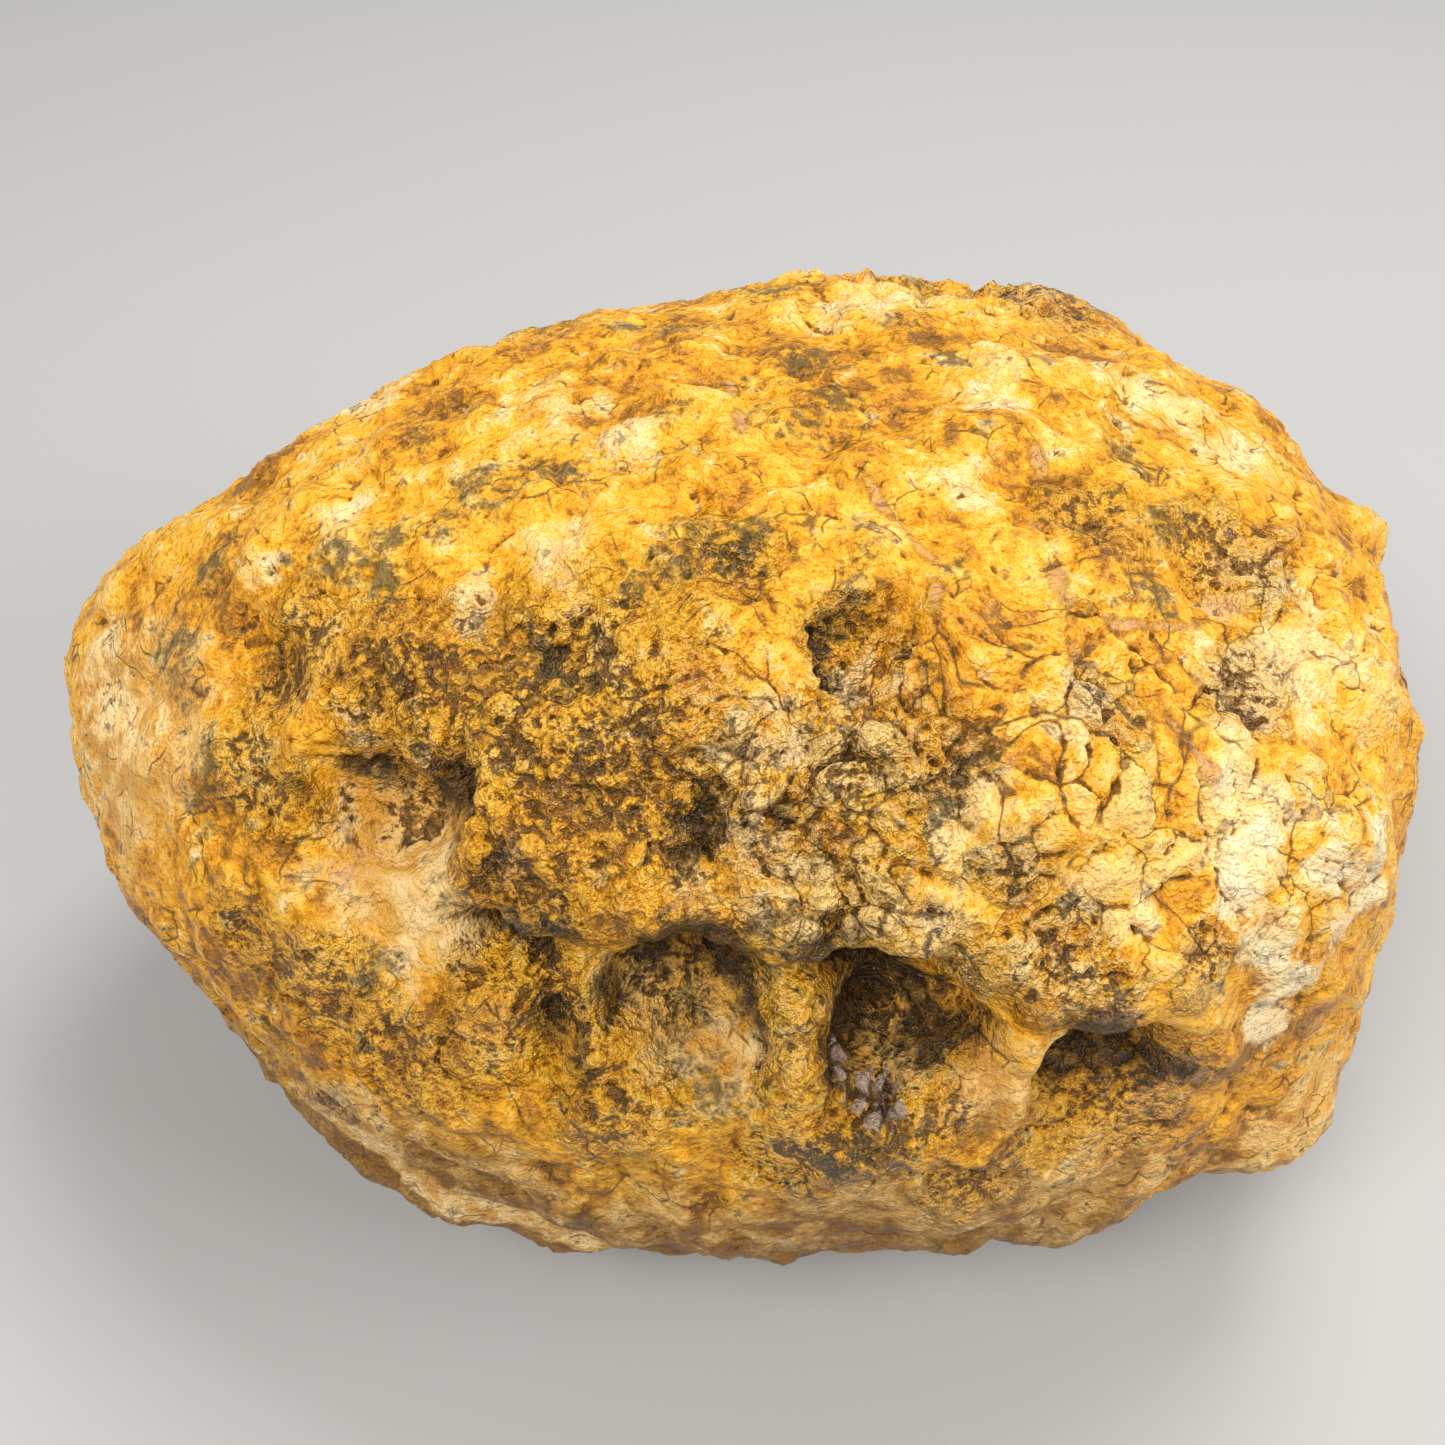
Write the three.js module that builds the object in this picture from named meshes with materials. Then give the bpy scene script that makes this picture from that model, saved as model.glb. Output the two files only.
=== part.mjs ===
// An unopened geode: one nodule of chalcedony rind, longer than it is deep and deeper than it is
// high. Its left end is narrow and its right end blunt. A brow runs across the front and overhangs
// a scooped front with hollows in it, and a thin lip of shell stands out at the lower left. It is
// one solid. Units are millimetres, +Z is up, +X is to the stone's right and -Y to its front. The
// origin is on the ground, under the middle of the stone.
import * as THREE from "three";
import { mergeVertices } from "three/addons/utils/BufferGeometryUtils.js";
import { ImprovedNoise } from "three/addons/math/ImprovedNoise.js";

// ---- Driving dimensions --------------------------------------------------------------------
const HALF_LENGTH = 75; // middle to either end, along X
const HALF_DEPTH = 60; // along Y
const HALF_HEIGHT = 49; // along Z
const RESTING_CUT = 2; // the underside is worn flat by this much where the stone rests
const LEFT_ROUNDNESS = 1.9; // superellipsoid power at the narrow left end
const RIGHT_ROUNDNESS = 2.6; // and at the blunt right end
const ROUNDNESS_BLEND = 0.8; // the power changes over this share of the length, either side
const FACETS_PER_EDGE = 22; // an icosahedron's edge is cut into this many facets
const CROWDING = { turn: 0, rise: 30, share: 0.45 }; // where the facets crowd to, and how far

// Places on the stone are given by two angles at its middle, in degrees. turn runs from the
// front (0) to the right end (90), the back (180) and the left end (-90). rise is above the level.

// Broad swells and, with a negative raise, worn flats: half-width and height in millimetres.
const SWELLS = [
  { turn: -95, rise: 6, spread: 38, raise: 6 }, // the narrow left end
  { turn: -108, rise: -14, spread: 26, raise: 3 }, // and its underside
  { turn: -104, rise: 20, spread: 20, raise: -3 }, // worn flat behind it
  { turn: -122, rise: 28, spread: 20, raise: -3 },
  { turn: -142, rise: 42, spread: 18, raise: -1.5 },
  { turn: -108, rise: 24, spread: 14, raise: -1.5 },
  { turn: -86, rise: 0, spread: 12, raise: -2.5 }, // the tip is blunted
  { turn: -68, rise: -6, spread: 12, raise: -1.5 },
  { turn: 100, rise: 15, spread: 10, raise: 5 }, // shoulder at the back of the right end
  { turn: 66, rise: -17, spread: 24, raise: 5 }, // heel of the right end
  { turn: 54, rise: -13, spread: 16, raise: 5 },
  { turn: 32, rise: -20, spread: 10, raise: 1.5 }, // the heel runs out under the front
  { turn: 74, rise: 8, spread: 22, raise: -0.7 }, // hollow cheek between shoulder and heel
  { turn: -42, rise: -12, spread: 26, raise: 2 }, // the lower left, above the lip
  { turn: 128, rise: 36, spread: 42, raise: -3.5 }, // worn flat on the back of the right end
  { turn: 134, rise: 30, spread: 16, raise: 3 }, // but fuller in the middle of that flat
  { turn: 180, rise: 48, spread: 50, raise: -2 }, // slack back of the crown
  { turn: -165, rise: 46, spread: 14, raise: -2.5 },
  { turn: 3, rise: -22, spread: 26, raise: 0.8 }, // fuller below the front
  { turn: -10, rise: -20, spread: 20, raise: 2 },
  { turn: 165, rise: -14, spread: 34, raise: 2 }, // heel at the back
  { turn: -150, rise: 8, spread: 30, raise: -3 }, // worn flat at the back left
  { turn: -22, rise: 38, spread: 16, raise: 2 }, // knob above the brow
  { turn: 52, rise: 22, spread: 16, raise: 1.5 }, // quartz boss on the right
];

// The brow: [turn, rise, depth] along its edge, from the left to the right. The stone is scooped
// out on the right hand of this path, which is below it, and is a little proud on the left hand.
const BROW = [
  [-58, 26, 0], [-52, 31, 2], [-47, 34, 2.5], [-41, 37, 3], [-35, 38, 3.5], [-31, 34, 3.5],
  [-30, 29, 3.5], [-27, 27, 3.5], [-22, 26, 3], [-15, 28, 3], [-10, 30, 3.5], [-5, 31, 4],
  [1, 29, 2.5], [6, 29, 3], [12, 28, 4], [19, 24, 3], [24, 20, 1.5], [28, 20, 2], [34, 15, 3],
  [38, 8, 2], [44, 0, 0],
];
const BROW_WALL = 3.5; // the scoop reaches its depth this far from the edge
const BROW_FLOOR = 10; // it keeps its depth as far as this
const BROW_REACH = 27; // and runs out here
const BROW_UNDERCUT = 0.2; // how far the scoop tips up under the edge
const BROW_PROUD = { share: 0.4, width: 11 }; // the raised side, as a share of the depth
const BROW_STEPS_PER_SPAN = 8;

// Scooped hollows. wide and tall are half-widths, leaned by lean degrees, deep is the depth.
// floor is the share of the half-width that is level, and undercut tips the scoop up under its rim.
const HOLLOWS = [
  { turn: -44, rise: 29, wide: 9, tall: 8, lean: -10, deep: 4, floor: 0.5, undercut: 0.2 }, // left
  { turn: -36, rise: 35, wide: 4, tall: 5, lean: 0, deep: 4, floor: 0.2, undercut: 0.3 },
  { turn: -25, rise: 22, wide: 6, tall: 5.5, lean: 0, deep: 6, floor: 0.4, undercut: 0.3 },
  { turn: -5, rise: 20, wide: 10.5, tall: 12, lean: 0, deep: 6.5, floor: 0.45, undercut: 0.15 }, // middle
  { turn: -14, rise: 22, wide: 5, tall: 5, lean: 0, deep: 3, floor: 0.3, undercut: 0.2 },
  { turn: 15, rise: 19, wide: 11.5, tall: 10, lean: -22, deep: 6.5, floor: 0.4, undercut: 0.15 }, // right
  { turn: 10, rise: 25, wide: 6, tall: 4.5, lean: 0, deep: 2.5, floor: 0.3, undercut: 0.2 },
  { turn: 10, rise: 13, wide: 5.5, tall: 6, lean: 0, deep: 4, floor: 0.4, undercut: 0.1 }, // crusted
  { turn: 31, rise: 10, wide: 9, tall: 7, lean: 15, deep: 6.5, floor: 0.45, undercut: 0.25 },
  { turn: 19, rise: 54, wide: 7, tall: 6.5, lean: 0, deep: 4, floor: 0.5, undercut: 0.2 }, // crater
  { turn: -25, rise: 50, wide: 8, tall: 6, lean: -30, deep: 2, floor: 0.1, undercut: 0 },
  { turn: -9, rise: 41, wide: 13, tall: 5, lean: -50, deep: 2.6, floor: 0.1, undercut: 0.2 },
  { turn: -7, rise: 36, wide: 4, tall: 4, lean: 0, deep: 2.2, floor: 0.1, undercut: 0.2 },
  { turn: 69, rise: 40, wide: 5.5, tall: 10, lean: 15, deep: 3.2, floor: 0.2, undercut: 0 },
  { turn: 82, rise: 25, wide: 6, tall: 8, lean: 0, deep: 4.5, floor: 0.2, undercut: 0 },
  { turn: -66, rise: 31, wide: 5.5, tall: 9, lean: 20, deep: 2.6, floor: 0.2, undercut: 0 },
  { turn: 22, rise: 40, wide: 7, tall: 4, lean: -25, deep: 1.8, floor: 0.1, undercut: 0.2 },
  { turn: 56, rise: 36, wide: 5, tall: 4, lean: -30, deep: 2, floor: 0.1, undercut: 0.2 },
  { turn: 158, rise: 16, wide: 14, tall: 10, lean: 20, deep: 7, floor: 0.4, undercut: 0.4 }, // back
  { turn: 166, rise: 19, wide: 6, tall: 6, lean: 0, deep: 3, floor: 0.3, undercut: 0.4 },
  { turn: 178, rise: -4, wide: 11, tall: 9, lean: 0, deep: 6, floor: 0.4, undercut: 0.4 },
  { turn: -160, rise: 10, wide: 9, tall: 12, lean: -15, deep: 5, floor: 0.3, undercut: 0.4 },
  { turn: -128, rise: -6, wide: 13, tall: 9, lean: 10, deep: 6, floor: 0.4, undercut: 0.4 },
  { turn: -136, rise: 30, wide: 10, tall: 7, lean: -30, deep: 3.5, floor: 0.2, undercut: 0.2 },
  { turn: 124, rise: -4, wide: 11, tall: 11, lean: 0, deep: 5, floor: 0.3, undercut: 0.4 },
  { turn: 146, rise: 44, wide: 9, tall: 7, lean: 30, deep: 3, floor: 0.3, undercut: 0.2 },
  { turn: 98, rise: -18, wide: 9, tall: 6, lean: 0, deep: 3, floor: 0.2, undercut: 0.3 }, // right end
  { turn: -88, rise: -8, wide: 7, tall: 6, lean: 0, deep: 2.5, floor: 0.2, undercut: 0.2 }, // left end
];

// Ridges, and grooves where raise is negative: a path of [turn, rise, raise] points.
const RIDGES = [
  // the lip at the lower left, and the groove above it
  {
    half: 6,
    path: [[-58, -17, 2.5], [-50, -20, 6.5], [-42, -21, 3.5], [-33, -22, 4], [-22, -25, 5], [-7, -25, 1]],
  },
  { half: 6, path: [[-62, -3, 0], [-50, -5, -3], [-36, -8, -3], [-22, -13, -2.5], [-8, -15, 0]] },
  // the groove beside the middle hollow, and the walls on either side of the right one
  { half: 4, path: [[-20, 24, -1], [-19, 17, -4], [-18, 9, -3], [-17, 4, 0]] },
  { half: 4, path: [[4, 30, 1], [5, 23, 3.5], [5, 15, 3.5], [4, 9, 1]] },
  { half: 4, path: [[25, 19, 0.5], [25, 13, 3], [23, 7, 1.5]] },
  { half: 5, path: [[2, 8, 1], [10, 6, 2], [18, 3, 2], [28, -3, 1], [40, -6, 0]] }, // sill
  { half: 4, path: [[0, 3, -1], [14, 1, -2], [28, -7, -1]] }, // groove under the sill
  { half: 3.5, path: [[-20, 33, 1.5], [-14, 33, 2], [-8, 33, 1]] }, // knobs on the brow
  { half: 3, path: [[-62, 24, -1.5], [-72, 21, -2], [-82, 15, -1]] }, // old crack on the left end
  { half: 3, path: [[42, 13, -1.5], [50, 8, -2], [60, 5, -1]] }, // under the quartz boss
];

// The rind's unevenness. A knobbly wave has rounded knobs with creases between them, and offset
// gives each wave noise of its own.
const WAVES = [
  { length: 34, height: 2.2, offset: 7, knobbly: false },
  { length: 16, height: 1.4, offset: 14, knobbly: true },
  { length: 8, height: 1.3, offset: 21, knobbly: true },
];
// Worn ground, where all but the slowest wave is weaker by this share.
const WORN = [
  { turn: -40, rise: 24, spread: 13, share: 0.7 },
  { turn: -36, rise: 8, spread: 22, share: 0.6 },
  { turn: -8, rise: 15, spread: 13, share: 0.6 },
  { turn: 17, rise: 15, spread: 12, share: 0.6 },
  { turn: -70, rise: 10, spread: 25, share: 0.4 },
];
const KNOB_MEAN = 0.5; // taken off a knobbly wave, so that it adds as much as it removes
const WANDERS = [{ length: 15, reach: 3 }, { length: 6, reach: 1.4 }]; // how edges wander
const NUDGE = 0.01; // the step by which the egg's slope is measured
const STEEP = 0.9; // directions steeper than this are measured across X instead of Z
const WELD = 1e-5; // the ball's corners closer than this are one
const OCHRE = 0xc98a2b;

// ---- Geometry helpers ----------------------------------------------------------------------
const { degToRad, lerp, smoothstep } = THREE.MathUtils;
const noise = new ImprovedNoise();

function direction(turn, rise) {
  return new THREE.Vector3(
    Math.sin(degToRad(turn)) * Math.cos(degToRad(rise)),
    -Math.cos(degToRad(turn)) * Math.cos(degToRad(rise)),
    Math.sin(degToRad(rise)),
  );
}

// Noise of that wave length, with a place of its own for each number of offset.
function noiseAt(point, length, offset) {
  const at = point.clone().divideScalar(length).addScalar(offset);
  return noise.noise(at.x, at.y, at.z);
}

// The smooth egg before anything is raised or scooped.
function body(dir) {
  const share = smoothstep(dir.x, -ROUNDNESS_BLEND, ROUNDNESS_BLEND);
  const power = lerp(LEFT_ROUNDNESS, RIGHT_ROUNDNESS, share);
  const sum =
    Math.abs(dir.x / HALF_LENGTH) ** power +
    Math.abs(dir.y / HALF_DEPTH) ** power +
    Math.abs(dir.z / HALF_HEIGHT) ** power;
  return dir.clone().multiplyScalar(sum ** (-1 / power));
}

// The egg's outward direction, from small steps to either side.
function outwardAt(dir) {
  const side = Math.abs(dir.z) < STEEP ? new THREE.Vector3(0, 0, 1) : new THREE.Vector3(1, 0, 0);
  const across = side.cross(dir).normalize();
  const along = dir.clone().cross(across);
  const centre = body(dir);
  const stepA = body(dir.clone().addScaledVector(across, NUDGE).normalize()).sub(centre);
  const stepB = body(dir.clone().addScaledVector(along, NUDGE).normalize()).sub(centre);
  return stepA.cross(stepB).normalize();
}

// A place on the smooth egg with its outward, rightward and upward directions, leaned by an angle.
function placeAt(turn, rise, lean = 0) {
  const dir = direction(turn, rise);
  const out = outwardAt(dir);
  const flatRight = new THREE.Vector3(1, 0, 0).projectOnPlane(out).normalize();
  const flatUp = out.clone().cross(flatRight);
  const c = Math.cos(degToRad(lean));
  const s = Math.sin(degToRad(lean));
  const right = flatRight.clone().multiplyScalar(c).addScaledVector(flatUp, s);
  const up = flatUp.clone().multiplyScalar(c).addScaledVector(flatRight, -s);
  return { centre: body(dir), out, right, up, skyward: flatUp };
}

// 1 up to level, falling smoothly to 0 at 1.
function fade(distance, level = 0) {
  return 1 - smoothstep(distance, level, 1);
}

const swells = SWELLS.map((s) => ({ ...s, ...placeAt(s.turn, s.rise) }));
const worn = WORN.map((w) => ({ ...w, ...placeAt(w.turn, w.rise) }));
const hollows = HOLLOWS.map((h) => ({ ...h, ...placeAt(h.turn, h.rise, h.lean) }));
const ridges = RIDGES.map((r) => ({
  half: r.half,
  points: r.path.map(([turn, rise, raise]) => ({ at: placeAt(turn, rise).centre, raise })),
}));

// The brow as a smooth curve, cut into short steps that know which way is below it.
function browSteps() {
  const spots = BROW.map(([turn, rise]) => placeAt(turn, rise));
  const curve = new THREE.CatmullRomCurve3(spots.map((spot) => spot.centre));
  const spans = BROW.length - 1;
  const steps = spans * BROW_STEPS_PER_SPAN;
  return Array.from({ length: steps + 1 }, (_, i) => {
    const along = i / BROW_STEPS_PER_SPAN;
    const span = Math.min(Math.floor(along), spans - 1);
    const tangent = curve.getTangent(i / steps);
    return {
      at: curve.getPoint(i / steps),
      below: tangent.cross(spots[Math.round(along)].out).normalize(),
      depth: lerp(BROW[span][2], BROW[span + 1][2], along - span),
    };
  });
}
const brow = browSteps();

// The push that the scoop below the brow, or the proud ground above it, gives a point of the egg.
function browPush(point, out) {
  let best = { distance: Infinity };
  for (const step of brow) {
    const distance = step.at.distanceTo(point);
    if (distance < best.distance) best = { ...step, distance };
  }
  const below = point.clone().sub(best.at).dot(best.below);
  const proud = best.depth * BROW_PROUD.share;
  if (below < 0) return out.clone().multiplyScalar(proud * fade(best.distance / BROW_PROUD.width));
  const inward = out.clone().negate().addScaledVector(best.below, -BROW_UNDERCUT).normalize();
  const wall = smoothstep(below, 0, BROW_WALL);
  const runOut = 1 - smoothstep(best.distance, BROW_FLOOR, BROW_REACH);
  const edge = out.clone().multiplyScalar(proud * (1 - wall));
  return inward.multiplyScalar(best.depth * wall * runOut).add(edge);
}

// How far a ridge stands out at a point of the egg.
function ridgeAt(ridge, point) {
  let best = { distance: Infinity, raise: 0 };
  for (let i = 1; i < ridge.points.length; i++) {
    const [from, to] = [ridge.points[i - 1], ridge.points[i]];
    const line = new THREE.Line3(from.at, to.at);
    const share = line.closestPointToPointParameter(point, true);
    const distance = line.at(share, new THREE.Vector3()).distanceTo(point);
    if (distance < best.distance) best = { distance, raise: lerp(from.raise, to.raise, share) };
  }
  return best.raise * fade(best.distance / ridge.half);
}

// The finished surface in one direction from the middle.
function surface(dir) {
  const start = body(dir);
  const out = outwardAt(dir);
  const point = start.clone();
  const wandered = WANDERS.reduce((place, { length, reach }) => {
    const [x, y, z] = [1, 2, 3].map((axis) => noiseAt(start, length, axis));
    return place.addScaledVector(new THREE.Vector3(x, y, z), reach);
  }, start.clone());
  for (const s of swells)
    point.addScaledVector(out, s.raise * fade(start.distanceTo(s.centre) / s.spread));
  for (const r of ridges) point.addScaledVector(out, ridgeAt(r, wandered));
  point.add(browPush(wandered, out));
  for (const h of hollows) {
    const away = wandered.clone().sub(h.centre);
    const reach = Math.hypot(away.dot(h.right) / h.wide, away.dot(h.up) / h.tall);
    if (reach >= 1 || away.dot(h.out) < -h.wide) continue;
    const inward = h.out.clone().negate().addScaledVector(h.skyward, h.undercut).normalize();
    point.addScaledVector(inward, h.deep * fade(reach, h.floor));
  }
  const calm = worn.reduce(
    (most, w) => Math.max(most, w.share * fade(start.distanceTo(w.centre) / w.spread)),
    0,
  );
  for (const { length, height, offset, knobbly } of WAVES) {
    const value = noiseAt(start, length, offset);
    const raise = knobbly ? (2 * Math.abs(value) - KNOB_MEAN) * (1 - calm) : value;
    point.addScaledVector(out, height * raise);
  }
  return point;
}

// ---- The solid -----------------------------------------------------------------------------
function nodule() {
  const ball = new THREE.IcosahedronGeometry(1, FACETS_PER_EDGE - 1);
  ball.deleteAttribute("normal");
  ball.deleteAttribute("uv");
  const skin = mergeVertices(ball, WELD);
  const place = skin.getAttribute("position");
  const crowd = direction(CROWDING.turn, CROWDING.rise).multiplyScalar(CROWDING.share);
  const ground = RESTING_CUT - HALF_HEIGHT;
  for (let i = 0; i < place.count; i++) {
    const dir = new THREE.Vector3().fromBufferAttribute(place, i).add(crowd).normalize();
    const point = surface(dir);
    place.setXYZ(i, point.x, point.y, Math.max(point.z, ground));
  }
  skin.computeBoundingBox();
  const { min, max } = skin.boundingBox;
  return skin.translate(-(min.x + max.x) / 2, -(min.y + max.y) / 2, -ground);
}

const stone = new THREE.MeshStandardMaterial({ color: OCHRE, roughness: 0.5, metalness: 0 });
const geode = new THREE.Mesh(nodule(), stone);
geode.name = "geode";

const group = new THREE.Group();
group.add(geode);
export default group;
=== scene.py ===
import math

import bpy
import numpy as np
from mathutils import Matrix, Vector
from mathutils.bvhtree import BVHTree


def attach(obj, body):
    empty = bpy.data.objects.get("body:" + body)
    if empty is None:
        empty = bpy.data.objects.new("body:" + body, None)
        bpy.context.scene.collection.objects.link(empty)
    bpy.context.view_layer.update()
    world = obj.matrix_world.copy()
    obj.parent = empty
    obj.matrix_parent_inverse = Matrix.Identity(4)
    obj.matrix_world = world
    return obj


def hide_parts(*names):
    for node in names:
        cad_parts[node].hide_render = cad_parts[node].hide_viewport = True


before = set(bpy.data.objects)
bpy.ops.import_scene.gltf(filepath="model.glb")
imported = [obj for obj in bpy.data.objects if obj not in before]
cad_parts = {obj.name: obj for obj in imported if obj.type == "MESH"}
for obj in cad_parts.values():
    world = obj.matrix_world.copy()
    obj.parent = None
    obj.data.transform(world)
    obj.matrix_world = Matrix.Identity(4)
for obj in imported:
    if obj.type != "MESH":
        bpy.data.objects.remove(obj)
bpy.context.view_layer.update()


# ---- The stone ---------------------------------------------------------------------------------
# One nodule of chalcedony and quartz, grown as a single piece and stained by iron. Weather has
# pitted and cracked its rind and scooped hollows below the brow; wet, it shines like varnish.

MM = 0.001
MIDDLE = Vector((1, 0, 47)) * MM  # places on the stone are given by turn and rise about here
SAME_POINT = 0.01 * MM
SKIN_CUTS = 2
WELL_OUTSIDE = 300 * MM  # from there, places are looked for on the skin

# The skin: the plain solid's own form, cut fine enough to carry its knobs and cracks.
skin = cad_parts["geode"].data.copy()
skin.materials.clear()
geode = bpy.data.objects.new("geode_rind", skin)
bpy.context.scene.collection.objects.link(geode)
welding = geode.modifiers.new("weld", "WELD")
welding.merge_threshold = SAME_POINT
cutting = geode.modifiers.new("fine skin", "SUBSURF")
cutting.levels = SKIN_CUTS
cutting.render_levels = SKIN_CUTS


def finished(thing):
    """The thing's mesh with its modifiers carried out, as a plain mesh, and no modifier left."""
    evaluated = thing.evaluated_get(bpy.context.evaluated_depsgraph_get())
    made = bpy.data.meshes.new_from_object(evaluated)
    thing.modifiers.clear()
    thing.data = made
    return made


skin = finished(geode)
skin_points = np.zeros(len(skin.vertices) * 3)
skin.vertices.foreach_get("co", skin_points)
skin_points = skin_points.reshape(-1, 3)
skin_faces = BVHTree.FromObject(geode, bpy.context.evaluated_depsgraph_get())


def place(turn, rise):
    """The point of the skin seen from the stone's middle at that turn from the front and that rise."""
    turn, rise = math.radians(turn), math.radians(rise)
    way = Vector((math.sin(turn) * math.cos(rise), -math.cos(turn) * math.cos(rise), math.sin(rise)))
    return skin_faces.ray_cast(MIDDLE + way * WELL_OUTSIDE, -way)[0]


def mark(name, shares):
    """Writes a share from 0 to 1 on every point of the skin, for the trees to read by name."""
    skin.attributes.new(name, "FLOAT", "POINT").data.foreach_set("value", shares)


# Ripples push the skin's points about a little, so that no mark has a round or a straight edge.
LONG_RIPPLE, SHORT_RIPPLE, RIPPLE_HEIGHT = 2.7 * MM, 1.3 * MM, 1.1 * MM
SHORT_SHARE = 0.6
long_ripples = np.sin(skin_points[:, [1, 2, 0]] / LONG_RIPPLE)
short_ripples = np.sin(skin_points[:, [2, 0, 1]] / SHORT_RIPPLE)
ripples = long_ripples + SHORT_SHARE * short_ripples
rippled_points = skin_points + RIPPLE_HEIGHT * ripples


def spots(places):
    """1 in the middle of each place (turn, rise, radius in mm), falling evenly to 0 at its edge."""
    shares = np.zeros(len(skin_points))
    for turn, rise, radius in places:
        away = np.linalg.norm(rippled_points - np.array(place(turn, rise)), axis=1)
        shares = np.maximum(shares, 1 - away / (radius * MM))
    return shares


def lines(paths, half_width, wander, steps=6):
    """1 along each path of (turn, rise) places, falling evenly to 0 at its half-width in mm."""
    shares = np.zeros(len(skin_points))
    wandering_points = skin_points + ripples * wander * MM
    for path in paths:
        dots = [Vector(place(*spot)) for spot in path]
        for start, end in zip(dots, dots[1:]):
            for step in range(steps + 1):
                nearest = skin_faces.find_nearest(start.lerp(end, step / steps))[0]
                away = np.linalg.norm(wandering_points - np.array(nearest), axis=1)
                shares = np.maximum(shares, 1 - away / (half_width * MM))
    return shares


# Manganese, in clouds of grey specks. Each place is a turn and a rise in degrees, and a radius in mm.
MANGANESE = [
    (149, 75, 9), (62, 83, 8), (97, 79, 6), (135, 58, 5), (115, 62, 4), (-66, 67, 7), (-70, 61, 7),
    (-93, 54, 5), (-91, 81, 4), (-72, 44, 8), (-66, 47, 7), (-71, 51, 4), (-66, 56, 5), (-12, 65, 7),
    (-21, 61, 5), (-2, 68, 5), (-83, 30, 8), (-78, 25, 8), (-74, 24, 7), (89, 47, 6), (77, 44, 5),
    (61, 46, 5), (42, 58, 4), (26, 64, 4), (22, 40, 6), (27, 43, 5), (20, 58, 5), (-37, 14, 6),
    (-50, 8, 5), (-46, 2, 5), (-61, 22, 8), (-13, 17, 5), (-4, 10, 8), (-5, 14, 7), (25, 32, 6),
    (10, 6, 9), (12, 14, 7), (15, 13, 6), (20, 14, 6), (10, 11, 5), (13, 5, 6), (-30, 51, 7),
    (150, 40, 9), (175, 50, 7), (-150, 45, 9), (-120, 20, 8), (120, 20, 8), (-170, 15, 7), (140, 5, 7),
    (100, 5, 7), (-100, 5, 7), (-135, 5, 8), (165, 25, 7), (-160, 60, 7),
]
# Iron, in clusters of brown crumbs.
BROWN = [
    (-63, 32, 8), (-64, 37, 7), (-54, 42, 9), (-46, 44, 7), (-60, 27, 6), (-23, 51, 12), (-13, 49, 8),
    (-22, 43, 12), (-31, 42, 9), (-7, 37, 7), (-14, 41, 9), (-4, 65, 6), (-38, 44, 5), (28, 53, 3),
    (15, 57, 4), (24, 42, 4), (11, 43, 5), (13, 34, 4), (75, 37, 8), (78, 41, 6), (70, 50, 7),
    (59, 33, 7), (44, 41, 5), (27, 33, 5), (28, 25, 5), (40, 20, 6), (35, 6, 14), (15, 17, 11),
    (19, 14, 7), (17, 10, 6), (-5, 22, 11), (-19, 29, 7), (-19, 17, 9), (-14, 11, 9), (-40, 11, 7),
    (-33, 9, 9), (-44, -7, 6), (9, 7, 13), (22, -3, 8), (-54, 26, 6), (-31, 36, 8), (-51, 14, 6),
    (-20, 35, 7), (160, 12, 14), (178, -6, 11), (-160, 8, 10), (-128, -8, 13), (122, -4, 11),
    (98, -18, 11), (-140, 30, 9), (135, 35, 12), (-175, 30, 10), (85, 10, 9), (35, 4, 8), (32, 3, 6),
    (37, 1, 7), (18, 15, 6), (21, 14, 5), (13, 13, 6), (10, 13, 4), (14, 16, 6), (12, 6, 4), (-19, 22, 6),
    (-22, 16, 7), (-16, 14, 6), (-22, 27, 7), (-13, 7, 7), (-20, 31, 6), (-25, 31, 6), (-27, 17, 5),
    (-24, 12, 6), (-45, 12, 6),
]
# Ground bleached to cream.
BLEACHED = [
    (-52, 52, 6), (-50, 50, 5), (-99, 69, 10), (-66, 75, 7), (3, 51, 6), (-1, 48, 5), (-4, 32, 6),
    (107, 45, 12), (103, 40, 10), (96, 37, 10), (66, 34, 16), (50, 31, 9), (49, 26, 9), (61, 31, 11),
    (-77, 16, 14), (-83, 16, 12), (-78, 8, 10), (-80, 44, 6), (-35, 17, 8), (-36, 25, 10), (-1, 13, 8),
    (-5, 10, 7), (25, 11, 6), (26, 9, 5), (23, 8, 5), (2, 36, 8), (10, 33, 6), (20, 30, 7), (28, 38, 7),
    (31, 35, 7), (4, 47, 4), (25, 37, 6), (33, 37, 6), (21, 52, 6), (24, 50, 6), (22, 49, 5), (19, 50, 4),
    (0, 49, 5), (-4, 48, 4), (2, 32, 4), (28, 39, 5), (33, 29, 5), (37, 26, 5), (3, 36, 4), (29, 34, 5),
    (39, 43, 7), (93, 61, 10), (64, 62, 8), (-76, 37, 7), (39, 27, 5), (-40, 60, 8), (150, 55, 12),
    (-140, 15, 12), (170, 5, 10), (110, 15, 12), (-110, 40, 10), (-165, 40, 10), (130, -10, 9),
]
# Pinkish skin, and quartz without stain, white to cream.
ROSY = [
    (-23, 32, 4), (-24, 13, 6), (-46, 23, 5), (31, 20, 4), (60, 54, 5), (68, 37, 5), (160, 40, 6),
    (-130, 25, 6), (95, 20, 5),
]
QUARTZ = [
    (46, 23, 4), (47, 18, 6), (48, 14, 6), (48, 9, 4.5), (47, 25, 4), (57, 20, 5), (56, 16, 4.5),
    (53, 15, 4), (53, 22, 4), (47, 31, 3), (150, 20, 5), (154, 16, 5), (147, 14, 4), (-110, 12, 4),
    (-113, 8, 4),
]
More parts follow.
